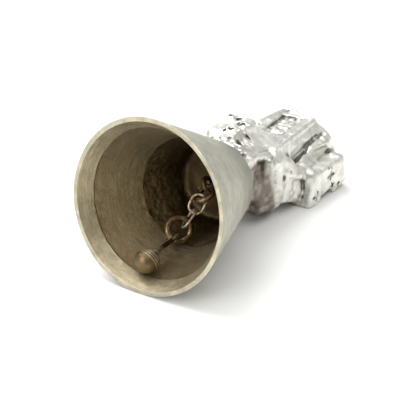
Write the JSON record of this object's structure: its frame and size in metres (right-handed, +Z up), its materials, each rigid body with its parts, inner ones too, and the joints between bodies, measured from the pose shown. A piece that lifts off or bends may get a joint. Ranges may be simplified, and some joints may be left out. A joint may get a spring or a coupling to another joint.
{
  "type": "hand bell",
  "caption": "Cast metal hand bell lying on its side, with a flared conical shell, a rough block-like sculpted handle, and a ball clapper on a short chain.",
  "frame": {"origin": "middle of the footprint of the bell lying on its side, on the surface it lies on", "axes": "+Z up, +Y from the mouth towards the handle along the bell, +X to the bell's side"},
  "size_m": [0.08, 0.1552, 0.0788],
  "materials": {
    "bell_metal": "cast bell metal, dull silver-grey wash",
    "cast_handle": "rough bright casting with dark recesses",
    "eye_steel": "tarnished wire",
    "fixing_steel": "dull zinc",
    "brown_wire": "brown tarnished wire",
    "bright_wire": "worn bright wire",
    "ball_brass": "brown tarnished brass",
    "collar_steel": "grey solder-like collar"
  },
  "bodies": {
    "bell": {"bell_shell": "bell_metal", "handle_casting": "cast_handle", "eye_bolt": "eye_steel", "crown_washer": "fixing_steel", "lock_nut": "fixing_steel"},
    "upper_ring": {"upper_ring": "brown_wire"},
    "upper_link": {"upper_link": "bright_wire"},
    "lower_link": {"lower_link": "bright_wire"},
    "lower_ring": {"lower_ring": "brown_wire"},
    "clapper": {"clapper_rod": "brown_wire", "clapper_collar": "collar_steel", "clapper_ball": "ball_brass"}
  },
  "joints": [
    {"name": "eye_swing", "type": "hinge", "parent": "bell", "child": "upper_ring", "pos_m": [0.00127, -0.02416, 0.02913], "axis": [-0.3536, -0.5928, 0.7236], "range_deg": [0, 25]},
    {"name": "upper_ring_hinge", "type": "hinge", "parent": "upper_ring", "child": "upper_link", "pos_m": [0.0003, -0.02977, 0.02635], "axis": [-0.9276, 0.2823, -0.2447], "range_deg": [0, 30]},
    {"name": "upper_link_hinge", "type": "hinge", "parent": "upper_link", "child": "lower_link", "pos_m": [-0.0002, -0.03393, 0.02169], "axis": [-0.8334, -0.3653, 0.4148], "range_deg": [0, 25]},
    {"name": "lower_link_hinge", "type": "hinge", "parent": "lower_link", "child": "lower_ring", "pos_m": [-0.00105, -0.04068, 0.01684], "axis": [-0.773, 0.4316, -0.465], "range_deg": [0, 25]},
    {"name": "hook_hinge", "type": "hinge", "parent": "lower_ring", "child": "clapper", "pos_m": [-0.00388, -0.04553, 0.01238], "axis": [-0.7978, -0.2587, 0.5446], "range_deg": [0, 50]}
  ]
}
